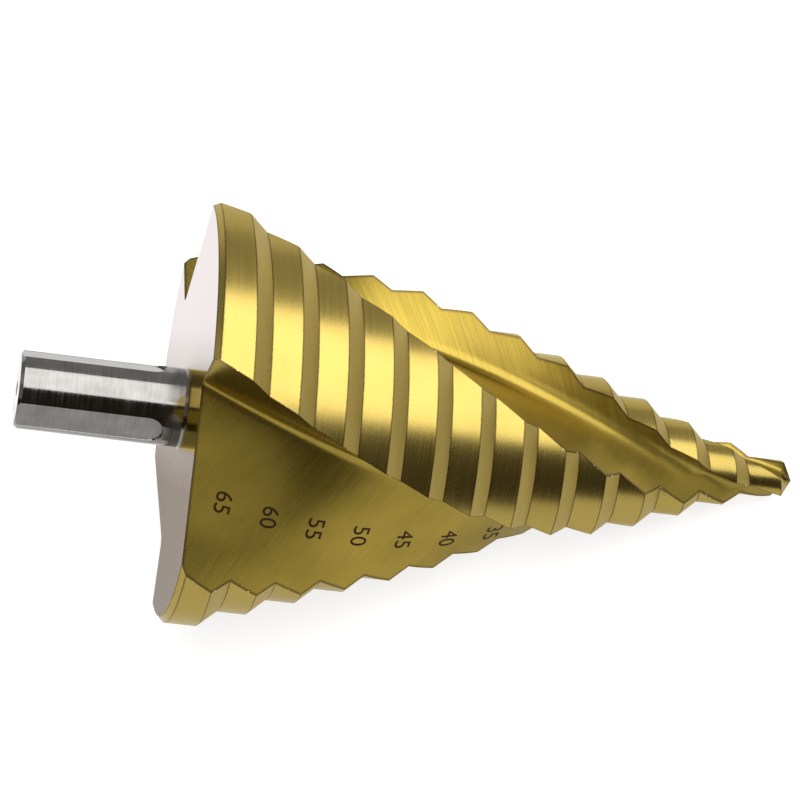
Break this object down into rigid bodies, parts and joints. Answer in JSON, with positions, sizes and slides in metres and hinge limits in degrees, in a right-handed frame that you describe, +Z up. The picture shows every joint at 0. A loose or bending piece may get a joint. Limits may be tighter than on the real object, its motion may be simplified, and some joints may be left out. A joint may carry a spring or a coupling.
{
  "type": "step drill",
  "caption": "Fluted step drill that enlarges a hole in sheet material in stepped diameters, with a conical spiral body and a flatted round shank",
  "frame": {"origin": "centre of the bounding box at the height of the surface the drill lies on", "axes": "+X towards the tip in plan, +Z up; the drill lies across one flute, so its own axis runs along X and dips towards the tip"},
  "size_m": [0.1186, 0.0642, 0.0619],
  "materials": {
    "coated_steel": "hard gold-coloured coating on ground high-speed steel, bare ground steel at the back face and the shank"
  },
  "bodies": {
    "root": {"step_drill": "coated_steel"}
  },
  "joints": []
}
